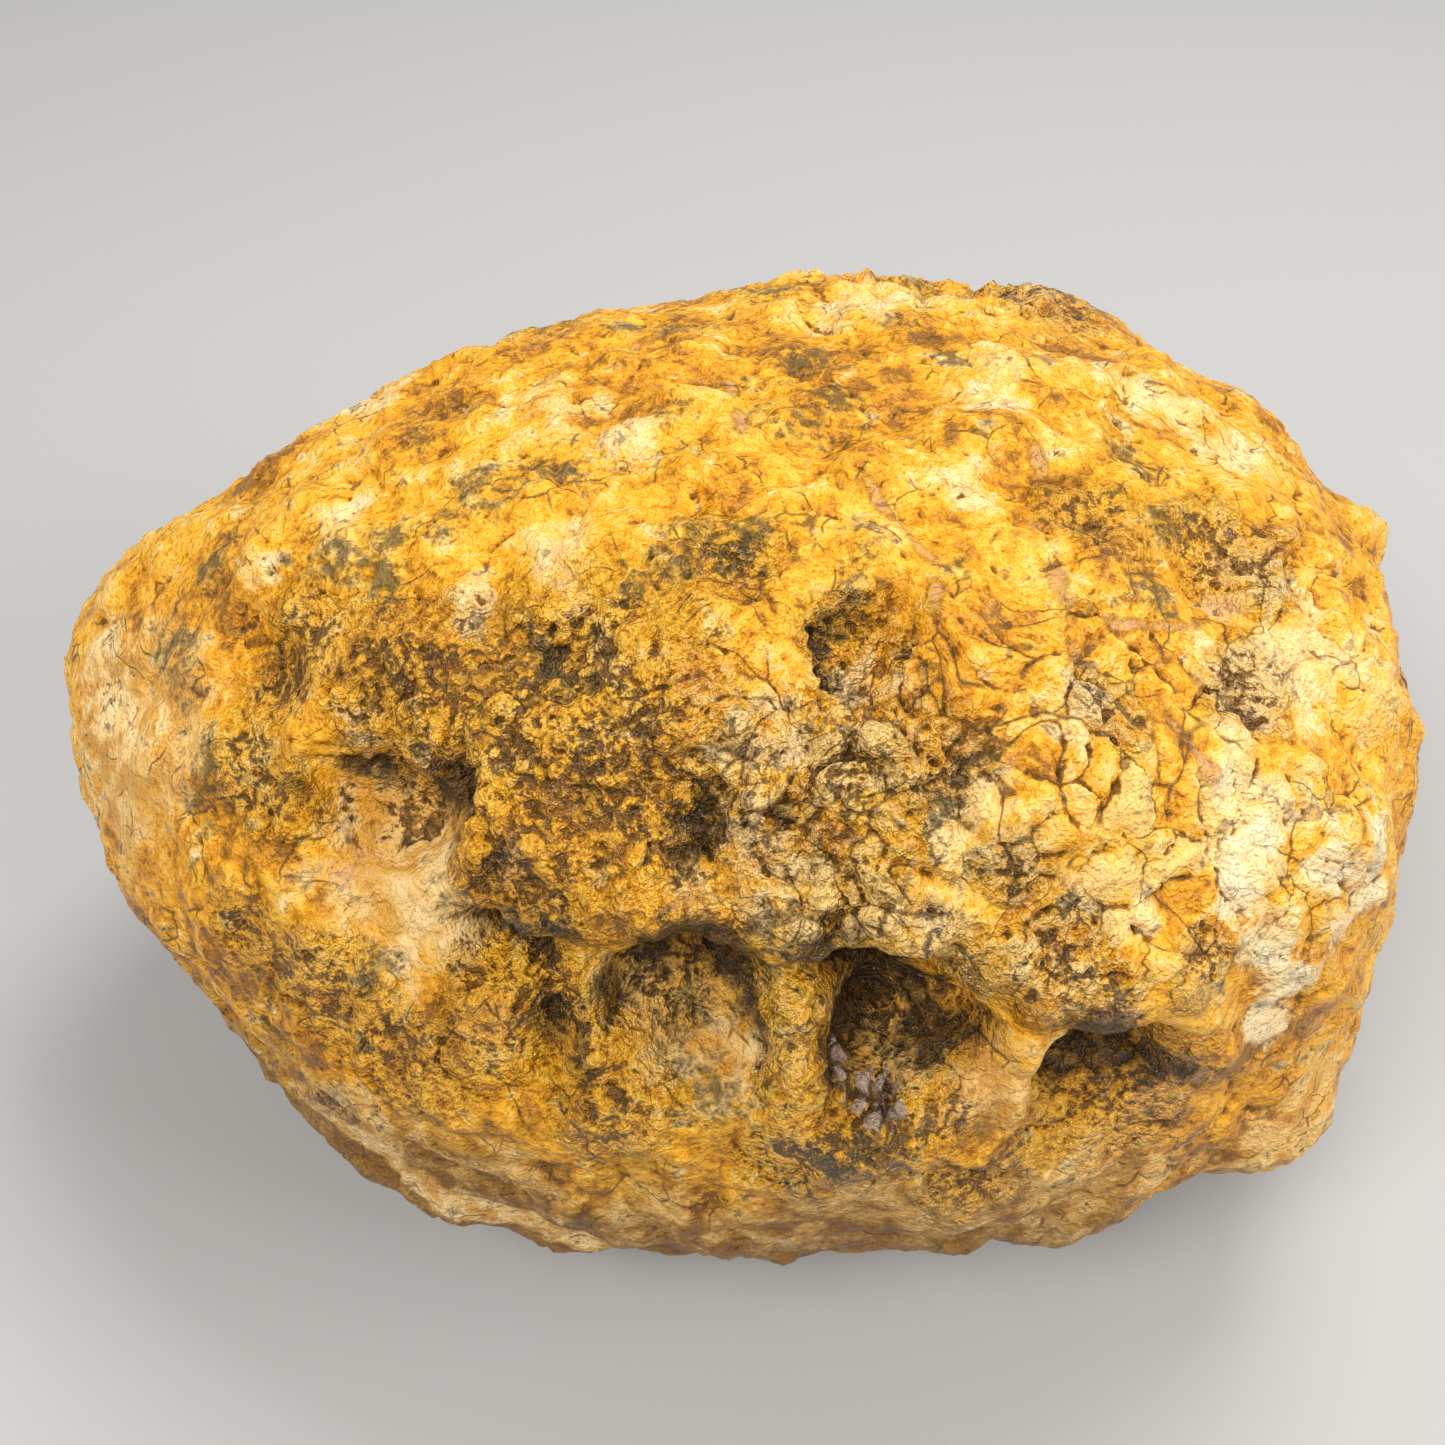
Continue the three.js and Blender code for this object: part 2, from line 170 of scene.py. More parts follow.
# Places of painted shade: a black film laid under the rims, where shadow falls.
RIM_SHADE_PLACES = [
    (-10, 22, 5), (-6, 29, 5), (-3, 28, 6), (0, 26, 5), (1, 21, 4), (-2, 21, 5), (-14, 18, 6), (2, 18, 4),
    (8, 28, 5), (13, 22, 6), (16, 19, 5), (19, 18, 5), (21, 16, 4), (24, 16, 3), (10, 16, 3), (7, 16, 3),
    (14, 14, 4), (16, 12, 3.5), (15, 10, 3), (31, 17, 5), (35, 8, 6), (37, 9, 5), (38, 7, 5), (33, 6, 5),
    (13, 54, 3), (15, 57, 3.5), (20, 58, 3), (29, 53, 2), (-17, 27, 4), (-22, 27, 4), (-38, 35, 4),
    (-30, 37, 6), (-45, 34, 3), (-49, 32, 3), (-33, 32, 5), (-6, 36, 5), (-9, 38, 4), (-53, 27, 3),
    (-19, 14, 5), (-16, 11, 4), (-22, 49, 5), (-32, 43, 5), (-37, 34, 6), (-16, 45, 5), (-3, 40, 4),
    (-1, 39, 4), (7, 40, 3), (-26, 36, 4), (-26, 33, 3), (-25, 22, 5), (-29, 21, 4), (-21, 22, 4),
    (-38, 36, 4), (20, 14, 5), (22, 14, 4), (13, 14, 6), (11, 13, 5), (9, 12, 4), (16, 15, 5),
    (158, 18, 7), (165, 16, 5), (-128, -4, 6),
]
# The crust of pale rounded crystals in the deepest hollow.
CRUST = [(12, 9, 3.5), (11, 10, 3), (11, 12, 2.5), (13, 10, 2.5)]
# Healed cracks, filled with pinkish stone.
VEINS = [
    [(-98, 59), (-116, 65), (-147, 66), (-175, 61)],
    [(45, 74), (44, 68), (38, 62), (39, 59), (34, 55)],
    [(90, 60), (79, 59), (76, 56)],
    [(121, 44), (109, 54)],
    [(57, 56), (54, 52), (49, 49), (46, 44)],
    [(50, 48), (56, 44), (64, 39)],
    [(-178, 81), (168, 86), (-13, 85)],
    [(50, 39), (48, 35), (47, 33)],
    [(-150, 40), (-160, 20), (-170, 0)],
    [(130, 50), (145, 30), (150, 5)],
    [(-120, 50), (-128, 30), (-118, 10)],
]
# The pale edge of the shell that stands out at the lower left.
LIP = [[(-48, -9), (-43, -11), (-39, -13), (-35, -16), (-31, -19), (-27, -21), (-22, -22), (-15, -23)]]
# Open cracks, black to the bottom.
CRACKS = [
    [(-48, -4), (-42, -7), (-36, -9), (-30, -12), (-24, -15), (-18, -17)],
    [(-53, 30), (-47, 33), (-40, 36), (-33, 38)],
    [(-31, 80), (-15, 73), (-12, 65)],
    [(-60, 67), (-50, 67), (-45, 63), (-42, 60)],
    [(-19, 59), (-13, 55), (-13, 50)],
    [(-16, 52), (-11, 48), (-5, 44), (0, 41), (1, 38)],
    [(-31, 51), (-30, 55), (-29, 58)],
    [(-9, 56), (-4, 53), (0, 52)],
    [(-9, 37), (-6, 35), (-4, 32)],
    [(-3, 50), (6, 51), (16, 54)],
    [(-5, 47), (-1, 46), (6, 46), (14, 45), (17, 44)],
    [(19, 47), (16, 43), (17, 41), (24, 43)],
    [(9, 40), (12, 38), (10, 36)],
    [(19, 33), (18, 32)],
    [(42, 40), (37, 37)],
    [(42, 27), (38, 24), (35, 25)],
    [(36, 41), (39, 38), (46, 33)],
    [(1, 82), (32, 77), (45, 73)],
    [(-66, 75), (-63, 80), (-38, 83), (20, 83)],
    [(28, 40), (31, 37), (33, 34)],
    [(-78, 21), (-69, 26), (-61, 28)],
    [(-17, 15), (-16, 10)],
    [(-150, 55), (-135, 40), (-130, 22)],
    [(170, 35), (160, 28), (148, 25)],
    [(110, 30), (118, 12), (112, -2)],
]
# Ground grown in rounded knobs, ground that is crumbled and crackled, and ground that is worn smooth.
KNOBBLY = [
    (40, 36, 26), (14, 38, 14), (6, 47, 12), (28, 44, 16), (52, 22, 16), (75, 30, 16), (150, 40, 22),
]
CRUMBLY = [
    (4, 22, 6), (4, 16, 6), (10, 29, 8), (20, 26, 8), (28, 24, 8), (-22, 45, 22), (-6, 40, 16),
    (20, 57, 6), (14, 43, 13), (-42, 43, 14), (-28, 33, 10), (160, 20, 18),
]
WORN = [
    (-39, 25, 15), (-74, 17, 20), (23, 11, 8), (-5, 16, 12), (16, 14, 11), (-30, -12, 18), (10, -12, 16),
    (34, 8, 5), (32, -12, 16), (-8, -16, 16), (54, -12, 16), (-42, -12, 8), (-34, -17, 8), (-26, -21, 8),
    (-17, -22, 8),
]
# Small round bowls with steep sides.
BOWLS = [
    (12, 11, 6), (-6, 36, 5), (-9, 38, 3), (-14, 18, 5), (35, 7, 8), (7, 40, 3), (20, 15, 8), (0, 20, 6),
    (0, 15, 6), (-20, 22, 6),
]

mark("manganese", spots(MANGANESE))
mark("brown", spots(BROWN))
mark("bleached", spots(BLEACHED))
mark("rosy", spots(ROSY))
mark("quartz", spots(QUARTZ))
mark("rim_shade", spots(RIM_SHADE_PLACES))
mark("crust", spots(CRUST))
mark("vein", lines(VEINS, half_width=1.3, wander=0.9))
mark("lip", lines(LIP, half_width=4.0, wander=1.0))
mark("crack", lines(CRACKS, half_width=1.0, wander=0.5))
mark("knobbly", spots(KNOBBLY))
mark("crumbly", spots(CRUMBLY))
mark("worn", spots(WORN))
mark("bowl", spots(BOWLS))


def node(tree, kind, sockets, **settings):
    """A node with its settings, and its sockets by name or number: a value, or what feeds them."""
    made = tree.nodes.new(kind)
    for name, value in settings.items():
        setattr(made, name, value)
    for key, value in sockets.items():
        if isinstance(value, bpy.types.NodeSocket):
            tree.links.new(value, made.inputs[key])
        else:
            made.inputs[key].default_value = value
    return made


class Sums:
    """Short words for the sums that the stone's two node trees share."""

    SEED_STEP = 0.37  # metres that one seed moves the noise: over twice the stone's length

    def __init__(self, tree):
        self.tree = tree

    def maths(self, operation, a, b=0.0, clamp=False):
        made = node(self.tree, "ShaderNodeMath", {0: a, 1: b}, operation=operation, use_clamp=clamp)
        return made.outputs[0]

    def plus(self, first, *others):
        for other in others:
            first = self.maths("ADD", first, other)
        return first

    def times(self, first, *others):
        for other in others:
            first = self.maths("MULTIPLY", first, other)
        return first

    def weighed(self, *shares):
        """The sum of (value, weight) pairs."""
        return self.plus(*[self.times(value, weight) for value, weight in shares])

    def less(self, a, b):
        return self.maths("SUBTRACT", a, b)

    def either(self, a, b):
        return self.maths("MAXIMUM", a, b)

    def both(self, a, b):
        return self.maths("MINIMUM", a, b)

    def flip(self, a):
        return self.maths("SUBTRACT", 1.0, a, clamp=True)

    def rise(self, a, start, end, low=0.0, high=1.0):
        """low up to start, high from end on, and a smooth climb between them."""
        sockets = {"Value": a, 1: start, 2: end, 3: low, 4: high}
        made = node(self.tree, "ShaderNodeMapRange", sockets, interpolation_type="SMOOTHSTEP")
        return made.outputs[0]

    def vector(self, operation, a, b):
        return node(self.tree, "ShaderNodeVectorMath", {0: a, 1: b}, operation=operation).outputs[0]

    def scaled(self, way, reach):
        return node(self.tree, "ShaderNodeVectorMath", {0: way, 3: reach}, operation="SCALE").outputs[0]

    def axes(self, way):
        """The three numbers of a place or a colour."""
        return node(self.tree, "ShaderNodeSeparateXYZ", {0: way}).outputs

    def noise(self, at, size, detail, rough, seed, **settings):
        """A noise node with lumps of that size, on places moved to another part of it by the seed."""
        moved = self.vector("ADD", at, self.maths("MULTIPLY", seed, self.SEED_STEP))
        scale = self.maths("DIVIDE", 1.0, size)
        sockets = {"Vector": moved, "Scale": scale, "Detail": detail, "Roughness": rough}
        return node(self.tree, "ShaderNodeTexNoise", sockets, **settings)

    def cloud(self, at, size, detail=2.0, rough=0.5, seed=0.0):
        """Soft noise from 0 to 1."""
        return self.noise(at, size, detail, rough, seed).outputs[0]

    def creases(self, at, size, detail=2.0, rough=0.5, seed=0.0):
        """Sharp branching ridges between round hollows: its top tenth is over about 1.5."""
        settings = {"noise_type": "RIDGED_MULTIFRACTAL", "normalize": True}
        made = self.noise(at, size, detail, rough, seed, **settings)
        made.inputs["Offset"].default_value = 1.0
        made.inputs["Gain"].default_value = 1.5
        return made.outputs[0]

    def cells(self, at, size, feature, seed=0.0):
        """Cells of that size: F1 measures from their middles, and DISTANCE_TO_EDGE from their edges."""
        moved = self.vector("ADD", at, self.maths("MULTIPLY", seed, self.SEED_STEP))
        sockets = {"Vector": moved, "Scale": self.maths("DIVIDE", 1.0, size)}
        return node(self.tree, "ShaderNodeTexVoronoi", sockets, feature=feature).outputs

    def bent(self, at, size, reach, seed=0.0):
        """The same places, pushed about by noise of that size, by as much as reach."""
        push = self.noise(at, size, detail=0.0, rough=0.5, seed=seed).outputs["Color"]
        centred = self.vector("SUBTRACT", push, (0.5, 0.5, 0.5))
        return self.vector("ADD", at, self.scaled(centred, reach))


# The rind's growth and weathering, as one tree of rules over the skin.
rind = bpy.data.node_groups.new("weathered rind", "GeometryNodeTree")
RIND_SIZES = {
    "Swell size": 11 * MM,
    "Swell height": 1.4 * MM,
    "Lump size": 5 * MM,
    "Lump height": 1.0 * MM,
    "Knob size": 5 * MM,
    "Knob height": 1.5 * MM,
    "Bead size": 2.7 * MM,
    "Bead height": 0.6 * MM,
    "Crease spacing": 6.5 * MM,
    "Crease depth": 0.7 * MM,
    "Pit spacing": 5 * MM,
    "Pit depth": 0.8 * MM,
    "Crystal height": 1.5 * MM,
    "Grain size": 1.7 * MM,
    "Grain height": 0.6 * MM,
    "Crack depth": 0.8 * MM,
    "Bowl depth": 1.0 * MM,
    "Seed": 4.0,
}
rind.interface.new_socket("Skin", in_out="INPUT", socket_type="NodeSocketGeometry")
rind_sockets = {
    name: rind.interface.new_socket(name, in_out="INPUT", socket_type="NodeSocketFloat")
    for name in RIND_SIZES
}
stone_socket = rind.interface.new_socket("Stone", in_out="INPUT", socket_type="NodeSocketMaterial")
rind.interface.new_socket("Rind", in_out="OUTPUT", socket_type="NodeSocketGeometry")
given = rind.nodes.new("NodeGroupInput").outputs
made_of = Sums(rind)


def noted(name):
    """A share that was written on the skin."""
    return node(rind, "GeometryNodeInputNamedAttribute", {"Name": name}, data_type="FLOAT").outputs[0]


seat = node(rind, "GeometryNodeInputPosition", {}).outputs[0]
outward = node(rind, "GeometryNodeInputNormal", {}).outputs[0]
seed = given["Seed"]

# Each kind of ground has its marked places; the knobs and crumbs come elsewhere in weak patches too.
PATCHY_SIZE = 22 * MM
FOOT_LOW, FOOT_HIGH = 0.5 * MM, 6 * MM  # the relief fades in over these heights, from the flat foot up
patchy = made_of.rise(made_of.cloud(seat, PATCHY_SIZE, seed=seed), 0.4, 0.62)
knobbly = made_of.either(made_of.rise(noted("knobbly"), 0.0, 0.5), made_of.times(patchy, 0.2))
crumbly = made_of.either(made_of.rise(noted("crumbly"), 0.0, 0.4), made_of.times(patchy, 0.3))
rough = made_of.rise(noted("worn"), 0.0, 0.45, 1.0, 0.35)
crusted = made_of.rise(noted("crust"), 0.0, 0.4)
aground = made_of.rise(made_of.axes(seat)[2], FOOT_LOW, FOOT_HIGH)

# Slow swells, and the lumps on them.
swell = made_of.less(made_of.cloud(seat, given["Swell size"], seed=seed), 0.5)
swells = made_of.times(swell, 2.0, given["Swell height"])
lump = made_of.less(made_of.cloud(seat, given["Lump size"], seed=made_of.plus(seed, 1.0)), 0.5)
lumps = made_of.times(lump, 2.0, given["Lump height"], rough)

# Rounded knobs with sharp creases between them, and the smaller beads.
WIDE_BEND, WIDE_REACH = 9 * MM, 7 * MM
CLOSE_BEND, CLOSE_REACH = 2.4 * MM, 1.8 * MM
UNEVEN_SIZE = 6 * MM
net = made_of.bent(seat, WIDE_BEND, WIDE_REACH, seed=2.0)
net = made_of.bent(net, CLOSE_BEND, CLOSE_REACH, seed=3.0)
knob = made_of.rise(made_of.cells(net, given["Knob size"], "DISTANCE_TO_EDGE")["Distance"], 0.0, 0.2)
bead = made_of.rise(made_of.cells(net, given["Bead size"], "DISTANCE_TO_EDGE")["Distance"], 0.0, 0.22)
uneven = made_of.cloud(seat, UNEVEN_SIZE, seed=made_of.plus(seed, 5.0))
uneven = made_of.rise(uneven, 0.35, 0.65, 0.3, 1.0)
knobs = made_of.times(knob, given["Knob height"], knobbly, uneven)
beads = made_of.times(bead, given["Bead height"], crumbly, uneven)

# Creases that come and go, and the few open cracks.
WANDER_SIZE, WANDER_REACH = 7 * MM, 4 * MM
wandering = made_of.bent(seat, WANDER_SIZE, WANDER_REACH, seed=seed)
crease = made_of.creases(wandering, given["Crease spacing"], seed=made_of.plus(seed, 3.0))
creases = made_of.times(made_of.rise(crease, 1.3, 1.65), given["Crease depth"], rough)
cracks = made_of.times(noted("crack"), given["Crack depth"])

# Round pits, in a third of the cells of a grid of their own.
pit = made_of.cells(wandering, given["Pit spacing"], "F1", seed=made_of.plus(seed, 8.0))
chosen = made_of.rise(made_of.axes(pit["Color"])[0], 0.66, 0.7)
hole = made_of.times(made_of.rise(pit["Distance"], 0.34, 0.08), chosen)
pits = made_of.times(hole, given["Pit depth"], made_of.either(crumbly, made_of.times(rough, 0.4)))

# The rounded crystals in the deepest hollow, the crumbly grain, and the bowls, level in the middle.
crystals = made_of.times(bead, given["Crystal height"], crusted)
grain = made_of.cloud(seat, given["Grain size"], detail=3.0, rough=0.65, seed=seed)
grains = made_of.times(made_of.less(grain, 0.5), 2.0, given["Grain height"], made_of.plus(0.5, crumbly))
bowls = made_of.times(made_of.rise(noted("bowl"), 0.0, 0.55), given["Bowl depth"])

raised = made_of.plus(swells, lumps, knobs, beads, crystals, grains)
height = made_of.less(raised, made_of.plus(creases, cracks, pits, bowls))
shift = made_of.scaled(outward, made_of.times(height, aground))


def noting(shape, name, kind, value):
    """The shape with a value written on each of its points."""
    sockets = {"Geometry": shape, "Name": name, "Value": value}
    settings = {"data_type": kind, "domain": "POINT"}
    return node(rind, "GeometryNodeStoreNamedAttribute", sockets, **settings).outputs[0]


def evened(value, kind, rounds):
    """A value shared out between neighbouring points, round after round."""
    sockets = {"Value": value, "Iterations": rounds}
    return node(rind, "GeometryNodeBlurAttribute", sockets, data_type=kind).outputs[0]


def sunk(rounds):
    """How far each point lies below the ground about it, in millimetres; more rounds look wider."""
    at = node(rind, "GeometryNodeInputPosition", {}).outputs[0]
    out = node(rind, "GeometryNodeInputNormal", {}).outputs[0]
    sockets = {0: made_of.vector("SUBTRACT", evened(at, "FLOAT_VECTOR", rounds), at), 1: out}
    below = node(rind, "ShaderNodeVectorMath", sockets, operation="DOT_PRODUCT").outputs["Value"]
    return made_of.times(below, 1 / MM)


# The grown shape keeps what the finish needs: the places from before it grew, and how it lies now.
CREASE_ROUNDS, DIP_ROUNDS, HOLLOW_ROUNDS, UP_ROUNDS = 5, 60, 500, 8
FLOW_WIDE, FLOW_WIDE_REACH = 9 * MM, 4 * MM
FLOW_CLOSE, FLOW_CLOSE_REACH = 2.5 * MM, 1.0 * MM
PATCH_SIZE = 13 * MM
flow = made_of.bent(made_of.bent(seat, FLOW_WIDE, FLOW_WIDE_REACH), FLOW_CLOSE, FLOW_CLOSE_REACH)
patches = made_of.cloud(flow, PATCH_SIZE, detail=4.0, rough=0.6, seed=1.0)
grown = noting(given["Skin"], "seat", "FLOAT_VECTOR", seat)
grown = noting(grown, "net", "FLOAT_VECTOR", net)
grown = noting(grown, "flow", "FLOAT_VECTOR", flow)
grown = noting(grown, "patches", "FLOAT", patches)
grown = node(rind, "GeometryNodeSetPosition", {"Geometry": grown, "Offset": shift}).outputs[0]
grown = noting(grown, "creased", "FLOAT", sunk(CREASE_ROUNDS))
grown = noting(grown, "dipped", "FLOAT", sunk(DIP_ROUNDS))
grown = noting(grown, "hollowed", "FLOAT", sunk(HOLLOW_ROUNDS))
up = made_of.axes(node(rind, "GeometryNodeInputNormal", {}).outputs[0])[2]
grown = noting(grown, "up", "FLOAT", evened(up, "FLOAT", UP_ROUNDS))
grown = node(rind, "GeometryNodeSetShadeSmooth", {"Geometry": grown}).outputs[0]
grown = node(rind, "GeometryNodeRealizeInstances", {0: grown}).outputs[0]
grown = node(rind, "GeometryNodeSetMaterial", {"Geometry": grown, "Material": given["Stone"]}).outputs[0]
node(rind, "NodeGroupOutput", {0: grown})

# The finish: stained chalcedony. Colours are linear.
RUST = (0.31, 0.124, 0.011, 1)
ORANGE = (0.61, 0.238, 0.009, 1)
GOLD = (0.84, 0.37, 0.012, 1)
YELLOW = (0.92, 0.475, 0.04, 1)
CREAM = (0.95, 0.59, 0.17, 1)
UMBER = (0.085, 0.038, 0.007, 1)
SHADOW_BLACK = (0.028, 0.017, 0.007, 1)
OLIVE = (0.1, 0.065, 0.02, 1)
TAN = (0.66, 0.34, 0.075, 1)
SHADE_BROWN = (0.28, 0.13, 0.024, 1)
PALE = (0.88, 0.56, 0.2, 1)
MILK = (0.96, 0.69, 0.33, 1)
WHITE = (0.95, 0.8, 0.5, 1)
PINK = (0.66, 0.34, 0.17, 1)
SHADE_DARK = (0.15, 0.06, 0.008, 1)
GREY = (0.1, 0.052, 0.028, 1)
LILAC = (0.46, 0.33, 0.24, 1)

stone = bpy.data.materials.new("stained chalcedony, wet")
stone.use_nodes = True
stone.node_tree.nodes.clear()
paint = Sums(stone.node_tree)


def written(name, output="Fac"):
    """A share, or a place, that the finished mesh carries."""
    return node(stone.node_tree, "ShaderNodeAttribute", {}, attribute_name=name).outputs[output]


def over(share, below, above):
    """One colour laid over another by a share."""
    sockets = {"Factor": share, 6: below, 7: above}
    return node(stone.node_tree, "ShaderNodeMix", sockets, data_type="RGBA").outputs[2]


def turning(value, start, end, first, second):
    """A colour that turns into a second one as the value climbs from start to end."""
    return over(paint.rise(value, start, end), first, second)


def laid(colour, above, value, start, end, most):
    """The colour with another laid over it: none where the value is at start, and most at its end."""
    return over(paint.rise(value, start, end, 0.0, most), colour, above)


def shades(value, stops):
    """A colour for each value, from (value, colour) stops."""
    ramp = node(stone.node_tree, "ShaderNodeValToRGB", {0: value})
    points = ramp.color_ramp.elements
    for at, colour in stops:
        points.new(at).color = colour
    points.remove(points[0])
    points.remove(points[-1])
    return ramp.outputs[0]


# Stains are blotched, crumbled and dusted, each by noise of its own size; specks gather the small ones.
BLOTCH_SIZE, CRUMB_SIZE, DUST_SIZE = 4 * MM, 1.3 * MM, 0.4 * MM
WRINKLE_SIZE, WRINKLE_BEND, WRINKLE_REACH = 1.7 * MM, 1.5 * MM, 0.6 * MM
home, net, patches = written("seat", "Vector"), written("net", "Vector"), written("patches")
creased, dipped, hollowed, up = written("creased"), written("dipped"), written("hollowed"), written("up")
worn, bleached, knobbly = written("worn"), written("bleached"), written("knobbly")
here = node(stone.node_tree, "ShaderNodeTexCoord", {}).outputs["Object"]
blotches = paint.cloud(written("flow", "Vector"), BLOTCH_SIZE, detail=4.0, rough=0.65, seed=2.0)
crumbs = paint.cloud(here, CRUMB_SIZE, detail=3.0, rough=0.7, seed=3.0)
dust = paint.cloud(here, DUST_SIZE, detail=1.0, rough=0.6, seed=4.0)
wrinkles = paint.bent(here, WRINKLE_BEND, WRINKLE_REACH)
wrinkles = paint.creases(wrinkles, WRINKLE_SIZE, rough=0.6, seed=8.0)
specks = paint.plus(0.46, paint.times(wrinkles, 0.12), paint.times(crumbs, -0.45), paint.times(dust, 0.2))

# Iron gives the ground its golds, with painted shade: browner in the creases and dips, and so paler on
# the crowns.
tone = paint.weighed((patches, 2.4), (blotches, 2.0), (crumbs, 1.2))
each_knob = paint.axes(paint.cells(net, RIND_SIZES["Knob size"], "F1")["Color"])[0]
each_knob = paint.times(paint.less(each_knob, 0.3), knobbly, 0.9)
tone = paint.plus(tone, paint.times(bleached, 0.35), each_knob)
# Painted shade: the tone drops where the ground is creased or dipped.
dip_shade = paint.plus(paint.rise(creased, -0.8, 0.8, 0.0, 0.4), paint.rise(dipped, -4.0, 4.0, 0.0, 0.25))
tone = paint.less(tone, paint.plus(2.05, dip_shade))
colour = shades(tone, [(0.0, RUST), (0.18, ORANGE), (0.42, GOLD), (0.66, YELLOW), (0.98, CREAM)])

# Worn ground is dried to tan. Painted shade makes the lower part darker and browner towards the bottom.
# Bleached ground turns pale as milk, with painted light: only where it faces up.
HEEL_START, HEEL_END, HEEL_RISE = 20 * MM, 55 * MM, 18 * MM  # the painted shade sinks lower on the right
SHADE_TOP, SHADE_FULL, SHADE_SPREAD = 88 * MM, 57 * MM, 60 * MM
dried = paint.rise(paint.plus(worn, paint.times(blotches, 1.4)), 0.8, 1.2, 0.0, 0.8)
colour = over(dried, colour, turning(blotches, 0.42, 0.58, TAN, PALE))
rightward, _, above_ground = paint.axes(here)
heel = paint.rise(rightward, HEEL_START, HEEL_END, 0.0, HEEL_RISE)
# Painted shade of the underside: darker and browner towards the bottom.
underside_shade_level = paint.plus(above_ground, paint.times(blotches, SHADE_SPREAD), heel)
underside_shade = turning(blotches, 0.4, 0.6, SHADE_DARK, SHADE_BROWN)
colour = laid(colour, underside_shade, underside_shade_level, SHADE_TOP, SHADE_FULL, 0.9)
milky_and_lit = paint.rise(paint.plus(bleached, paint.times(blotches, 2.5)), 1.65, 2.1, 0.0, 0.75)
# Painted light: the real bleaching shows pale as milk only on ground that faces up, so the tops look lit.
milky_and_lit = paint.times(milky_and_lit, paint.rise(up, 0.2, 0.6))
colour = over(milky_and_lit, colour, turning(blotches, 0.45, 0.6, PALE, MILK))

# The lip of shell, pale and nearly clean, the quartz, the rosy skin, and the healed cracks.
lip_share = paint.plus(written("lip"), paint.times(blotches, 1.2))
colour = laid(colour, turning(blotches, 0.42, 0.58, TAN, MILK), lip_share, 0.85, 1.15, 0.85)
white_share = paint.weighed((written("quartz"), 1.5), (blotches, 2.4), (crumbs, 1.0))
colour = laid(colour, turning(blotches, 0.42, 0.62, MILK, WHITE), white_share, 1.9, 2.6, 0.95)
rosy_share = paint.weighed((written("rosy"), 0.9), (blotches, 2.0))
colour = laid(colour, PINK, rosy_share, 1.3, 1.9, 0.7)
vein_share = paint.plus(written("vein"), paint.times(blotches, 0.8))
colour = laid(colour, RUST, vein_share, 0.5, 0.75, 0.6)
colour = laid(colour, turning(crumbs, 0.4, 0.6, PINK, TAN), vein_share, 0.8, 1.0, 0.8)

# Brown iron in crumbs that gather in clusters, and painted shade: the same brown laid whole in the
# hollows and more readily in the creases.
# Painted shade: brown laid where the ground lies deep in a hollow, less on bleached ground.
hollow_shade = paint.rise(paint.plus(hollowed, paint.times(blotches, 6.0)), 4.0, 8.0)
hollow_shade = paint.times(hollow_shade, paint.rise(bleached, 0.0, 0.5, 1.0, 0.3))
iron_and_hollow_shade = paint.either(written("brown"), hollow_shade)
iron_and_hollow_shade = paint.either(iron_and_hollow_shade, paint.rise(patches, 0.42, 0.34, 0.0, 0.3))
crumbled = paint.weighed((blotches, 1.6), (specks, 3.0), (creased, 0.8))
iron_and_shade_brown = turning(specks, 0.46, 0.56, RUST, UMBER)
colour = laid(colour, iron_and_shade_brown, paint.plus(crumbled, iron_and_hollow_shade), 2.75, 3.1, 0.92)

# Painted light and shade on each crumb: pale on its top and rusty about its foot, following its bump.
wet = paint.either(written("crumbly"), written("brown"))
crumbling = paint.times(paint.rise(worn, 0.0, 0.5, 1.0, 0.6), paint.rise(wet, 0.0, 0.4, 0.2, 1.0))
colour = over(paint.times(paint.rise(specks, 0.51, 0.59, 0.0, 0.6), crumbling), colour, RUST)
crumb_highlight = turning(knobbly, 0.0, 0.3, YELLOW, PALE)
colour = over(paint.times(paint.rise(specks, 0.49, 0.42, 0.0, 0.5), crumbling), colour, crumb_highlight)

# Painted shade in the creases: dark brown where the ground is creased and its grain lies low.
crease_shade = paint.weighed((creased, 1.8), (specks, 2.0))
crease_shade = paint.times(paint.rise(crease_shade, 1.35, 1.75, 0.0, 0.85), paint.rise(worn, 0.0, 0.5, 1.0, 0.5))
colour = over(crease_shade, colour, over(blotches, UMBER, RUST))

# Fissures between the knobs, a crackle across the crumbled ground, and rings about its beads.
SPLIT_SIZE, CRACKLE_SIZE, CRACKLE_BEND, CRACKLE_REACH = 4 * MM, 4 * MM, 3 * MM, 1.2 * MM
split = paint.plus(paint.cloud(home, SPLIT_SIZE, seed=6.0), paint.times(knobbly, 0.15))
knob_edge = paint.cells(net, RIND_SIZES["Knob size"], "DISTANCE_TO_EDGE")["Distance"]
fissure = paint.times(paint.rise(knob_edge, 0.04, 0.0), paint.rise(split, 0.48, 0.62))
crackle = paint.bent(home, CRACKLE_BEND, CRACKLE_REACH, seed=5.0)
crackle = paint.creases(crackle, CRACKLE_SIZE, detail=4.0, rough=0.65, seed=7.0)
crackled = paint.weighed((blotches, 1.5), (written("crumbly"), 0.35))
crack = paint.times(paint.rise(crackle, 1.7, 1.95), paint.rise(crackled, 0.75, 1.0))
ringed = paint.rise(paint.plus(crackled, paint.times(split, 0.8)), 1.3, 1.55)
bead_edge = paint.cells(net, RIND_SIZES["Bead size"], "DISTANCE_TO_EDGE")["Distance"]
ring = paint.times(paint.rise(bead_edge, 0.07, 0.01), ringed)
split_open = paint.either(ring, paint.either(fissure, crack))
split_open = paint.times(split_open, paint.rise(white_share, 1.9, 2.2, 0.85, 0.4))
colour = over(split_open, colour, UMBER)
